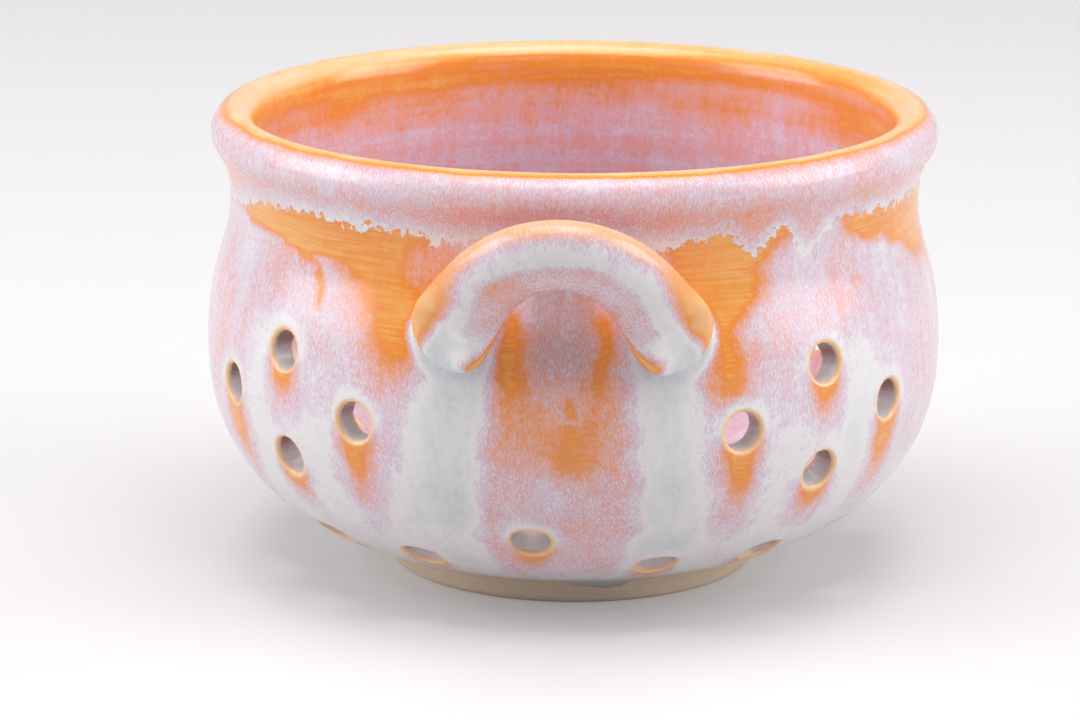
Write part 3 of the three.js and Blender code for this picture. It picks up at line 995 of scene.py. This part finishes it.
def flowing_glaze(finish):
    """A flowing rutile glaze on stoneware: orange where it ran thin, then pink, then pale."""
    material = new_material("flowing_stoneware_glaze")
    add = partial(add_node, material.node_tree)
    thickness, coat, above, inside, lip, painted_shade_mask, thrown = [
        add("Attribute", {}, "Fac", attribute_name=name) for name in GLAZE_LAYERS]
    outside = add("Math", {0: 1, 1: inside}, operation="SUBTRACT")

    # The pattern is wrapped round the wall, so that it runs down it from the rim to the foot and widens
    # little with the bowl.
    place = add("TexCoord", {}, "Object")
    level = add("VectorMath", {0: place, 1: (1, 1, 0)}, operation="MULTIPLY")
    outward = add("VectorMath", {0: level}, operation="NORMALIZE")
    ring = add("VectorMath", {0: outward, "Scale": 52 * MM}, operation="SCALE")
    wrapped = add("VectorMath", {0: place, 1: (0.35, 0.35, 1), 2: ring}, operation="MULTIPLY_ADD")
    drawn = add("VectorMath", {0: wrapped, 1: (1, 1, 0.24)}, operation="MULTIPLY")
    ringed = add("VectorMath", {0: wrapped, 1: (0.05, 0.05, 1)}, operation="MULTIPLY")

    # Hairs 0.24 mm wide, streaks of 2.5 mm, clouds of 20 mm, curds of 2 mm, and the throwing lines of 0.6 mm
    # and bands of 5 mm that run round the bowl.
    hair, streak, cloud, curd, lines, bands = [
        add(
            "TexNoise", {"Vector": vector, "Scale": 1 / (size * MM), "Detail": detail, "Roughness": 0.6},
            normalize=False)
        for vector, size, detail in (
            (drawn, 0.24, 2), (drawn, 2.5, 3), (place, 20, 2), (place, 2, 3), (ringed, 0.6, 3),
            (ringed, 5, 2))]

    # The rim's coat ends in a ragged edge with a thick white border.
    curdled = add("Math", {0: curd, 1: 2.2, 2: above}, operation="MULTIPLY_ADD")
    ragged = add("Math", {0: streak, 1: 1.2, 2: curdled}, operation="MULTIPLY_ADD")
    coated = add("MapRange", {"Value": ragged, "From Min": -0.15, "From Max": 0.15})
    border = add(
        "MapRange", {"Value": ragged, "From Min": 0.8, "From Max": 5, "To Min": 0.22, "To Max": 0})
    bordered = add("Math", {0: border, 1: outside, 2: coat}, operation="MULTIPLY_ADD")
    laid = add("Mix", {"Factor": coated, 2: thickness, 3: bordered})

    # Thick glaze is mottled by hairs, streaks, clouds and curds, and the inside by bands.
    mottle = add("Math", {0: hair, 1: 0.08}, operation="MULTIPLY")
    for pattern, strength in ((streak, 0.05), (cloud, 0.09), (curd, 0.05)):
        mottle = add("Math", {0: pattern, 1: strength, 2: mottle}, operation="MULTIPLY_ADD")
    share = add(
        "MapRange", {"Value": laid, "From Min": 0.22, "From Max": 0.46, "To Min": 0.2, "To Max": 1})
    mottled = add("Math", {0: mottle, 1: share, 2: laid}, operation="MULTIPLY_ADD")
    inner = add("Math", {0: bands, 1: 0.1}, operation="MULTIPLY")
    mottled = add("Math", {0: inner, 1: inside, 2: mottled}, operation="MULTIPLY_ADD")

    # Thin glaze shows the throwing lines.
    ribs = add(
        "MapRange", {"Value": laid, "From Min": 0.28, "From Max": 0.46, "To Min": 0.06, "To Max": 0.01})
    ribs = add("Math", {0: ribs, 1: thrown}, operation="MULTIPLY")
    depth = add("Math", {0: lines, 1: ribs, 2: mottled}, operation="MULTIPLY_ADD")
    ramp = add("ValToRGB", {0: depth})
    set_ramp(ramp, [(at, getattr(finish, name)) for name, at in GLAZE_COLOURS.items()])

    # A mist of fine white hairs lies over all but the thinnest glaze, least inside.
    strands = add("MapRange", {"Value": hair, "From Min": -0.1, "From Max": 0.6})
    mist = add(
        "MapRange", {"Value": mottled, "From Min": 0.3, "From Max": 0.56, "To Min": 0, "To Max": 0.65})
    still = add("MapRange", {"Value": inside, "To Min": 1, "To Max": 0.25})
    mist = add("Math", {0: mist, 1: still}, operation="MULTIPLY")
    hairs = add("Math", {0: strands, 1: mist}, operation="MULTIPLY")
    haired = add("Mix", {0: hairs, 6: ramp, 7: (*finish.white, 1)}, 2, data_type="RGBA")
    drawn_back = add("Mix", {0: lip, 6: haired, 7: (*finish.thin_edge, 1)}, 2, data_type="RGBA")
    # Painted shade: the dark grey-brown is mixed in under the arches and in the upper halves of the hole
    # shafts.
    tint = add("Mix", {0: painted_shade_mask, 6: drawn_back, 7: (*finish.painted_shade, 1)}, 2, data_type="RGBA")

    # The coat stands up a little at its edge, and thick glaze is less glossy.
    step = add("Math", {0: coated, 1: outside}, operation="MULTIPLY")
    relief = add("Math", {0: step, 1: 0.3, 2: mottled}, operation="MULTIPLY_ADD")
    bump = add("Bump", {"Height": relief, "Strength": 0.35, "Distance": 0.2 * MM})
    gloss = add(
        "MapRange", {"Value": depth, "From Min": 0.2, "From Max": 0.9, "To Min": 0.2, "To Max": 0.36})
    shader = add("BsdfPrincipled", {
        "Base Color": tint, "Roughness": gloss, "Normal": bump, "IOR": 1.5,
        "Coat Weight": 0.25, "Coat Roughness": 0.12})
    add("OutputMaterial", {"Surface": shader})
    return material


def bare_clay(finish):
    """Bare fired buff stoneware: dry, fine sandy grain with turning lines left by the trimming tool."""
    material = new_material("bare_buff_stoneware")
    add = partial(add_node, material.node_tree)
    place = add("TexCoord", {}, "Object")
    turned = add("VectorMath", {0: place, 1: (0.03, 0.03, 1)}, operation="MULTIPLY")
    # Grit of 0.5 mm, and turning lines about 0.5 mm apart round the ring.
    grit, lines = [
        add("TexNoise", {"Vector": vector, "Scale": 1 / (0.5 * MM), "Detail": 3})
        for vector in (place, turned)]
    grain = add("Mix", {"Factor": 0.5, 2: grit, 3: lines})
    ramp = add("ValToRGB", {0: grain})
    set_ramp(ramp, [(0.3, finish.clay_shade), (0.65, finish.clay)])
    bump = add("Bump", {"Height": grain, "Strength": 0.4, "Distance": 0.2 * MM})
    shader = add("BsdfPrincipled", {
        "Base Color": ramp, "Normal": bump, "Roughness": 0.85, "IOR": 1.5})
    add("OutputMaterial", {"Surface": shader})
    return material


def matt_paper(stage):
    """Matt white paper, which looks whiter than the light that it throws back onto the bowl."""
    material = new_material("matt_paper")
    add = partial(add_node, material.node_tree)
    seen = add("LightPath", {}, "Is Camera Ray")
    rays = seen.node.outputs
    for ray in ("Is Glossy Ray", "Is Transmission Ray"):
        seen = add("Math", {0: seen, 1: rays[ray]}, operation="MAXIMUM")
    tint = add(
        "Mix", {0: seen, 6: (*stage.paper_bounce, 1), 7: (*stage.paper, 1)}, 2, data_type="RGBA")
    glow = add("Math", {0: seen, 1: stage.paper_glow}, operation="MULTIPLY")
    shader = add("BsdfPrincipled", {
        "Base Color": tint, "Roughness": 0.9, "Emission Color": (1, 1, 1, 1), "Emission Strength": glow})
    add("OutputMaterial", {"Surface": shader})
    return material


# The stage

# The lamps: name, place and width in metres, and power in watts
SOFT_BOXES = (
    ("left_soft_box", (-1.6, -0.2, 0.8), 1.2, 17),
    ("right_soft_box", (1.6, -0.2, 0.8), 1.2, 17),
    ("top_soft_box", (0, -0.25, 1.5), 1.3, 17.5),
)
LAMP_AIM = Vector((0, 0, 60 * MM))

# The paper in metres: its size on the floor, how far it rises behind the bowl, and the sweep between the two
PAPER_WIDTH = 6
PAPER_DEPTH = 4
PAPER_RISE = 3
PAPER_SWEEP = 1


class COLANDER_OT_stage(bpy.types.Operator):
    """Set the bowl on pale paper under soft light, with the camera in front"""

    bl_idname = "colander.stage"
    bl_label = "Stage"

    def execute(self, context):
        stage = context.scene.colander_stage
        self.paper(stage)
        self.lights(context.scene, stage)
        self.camera(context.scene, stage)
        context.scene.view_settings.view_transform = "Standard"
        return {"FINISHED"}

    def paper(self, stage):
        sheet = fresh_mesh("paper_sweep")
        bpy.ops.mesh.select_all(action="SELECT")
        bpy.ops.transform.resize(value=(PAPER_WIDTH / MM, PAPER_DEPTH / MM, 1))
        object_mode()
        points = places(sheet)
        select_vertices(sheet, points[:, 1] > 0)
        bpy.ops.mesh.extrude_region_move(TRANSFORM_OT_translate={"value": (0, 0, PAPER_RISE)})
        object_mode()
        points = places(sheet)
        select_vertices(sheet, (points[:, 1] > 0) & (points[:, 2] < PAPER_RISE / 2))
        bpy.ops.mesh.bevel(offset=PAPER_SWEEP, segments=16, affect="EDGES")
        object_mode()
        bpy.ops.object.shade_smooth()
        sheet.data.materials.append(matt_paper(stage))

    def lights(self, scene, stage):
        world = bpy.data.worlds.new("soft_room")
        scene.world = world
        world.use_nodes = True
        background = world.node_tree.nodes["Background"].inputs
        background["Color"].default_value = (1, 1, 1, 1)
        background["Strength"].default_value = stage.room_light
        for name, spot, size, power in SOFT_BOXES:
            bpy.ops.object.light_add(type="AREA", location=spot)
            lamp = bpy.context.object
            lamp.name = name
            lamp.data.size = size
            lamp.data.energy = power
            lamp.rotation_euler = (LAMP_AIM - Vector(spot)).to_track_quat("-Z", "Y").to_euler()

    def camera(self, scene, stage):
        turn = Matrix.Rotation(stage.camera_side, 3, "Z")
        spot = turn @ Vector((0, -stage.camera_distance, stage.camera_height))
        bpy.ops.object.camera_add(location=spot)
        camera = bpy.context.object
        aim = Matrix.Rotation(stage.camera_side + stage.camera_turn, 3, "Z")
        aim = aim @ Matrix.Rotation(math.pi / 2 - stage.camera_tilt, 3, "X")
        aim = aim @ Matrix.Rotation(stage.camera_roll, 3, "Z")
        camera.rotation_euler = aim.to_euler()
        camera.data.sensor_width = 36
        camera.data.lens = stage.lens
        camera.data.clip_start = 0.01
        scene.camera = camera


class COLANDER_PT_panel(bpy.types.Panel):
    bl_idname = "COLANDER_PT_panel"
    bl_label = "Colander bowl"
    bl_space_type = "VIEW_3D"
    bl_region_type = "UI"
    bl_category = "Colander"

    def draw(self, context):
        for operator in OPERATORS:
            self.layout.operator(operator.bl_idname)


OPERATORS = (
    COLANDER_OT_bowl_body, COLANDER_OT_foot_ring, COLANDER_OT_handles, COLANDER_OT_glaze, COLANDER_OT_stage)
GROUPS = {
    "colander_body": ColanderBody,
    "colander_holes": ColanderHoles,
    "colander_foot": ColanderFoot,
    "colander_handles": ColanderHandles,
    "colander_finish": ColanderFinish,
    "colander_stage": ColanderStage,
}


def register():
    for group in GROUPS.values():
        bpy.utils.register_class(group)
    for operator in OPERATORS:
        bpy.utils.register_class(operator)
    bpy.utils.register_class(COLANDER_PT_panel)
    for name, group in GROUPS.items():
        setattr(bpy.types.Scene, name, PointerProperty(type=group))


def unregister():
    for name in GROUPS:
        delattr(bpy.types.Scene, name)
    for cls in (COLANDER_PT_panel, *reversed(OPERATORS), *reversed(GROUPS.values())):
        bpy.utils.unregister_class(cls)


def main():
    register()
    bpy.ops.colander.bowl_body()
    bpy.ops.colander.foot_ring()
    bpy.ops.colander.handles()
    bpy.ops.colander.glaze()
    bpy.ops.colander.stage()


if __name__ == "__main__":
    main()
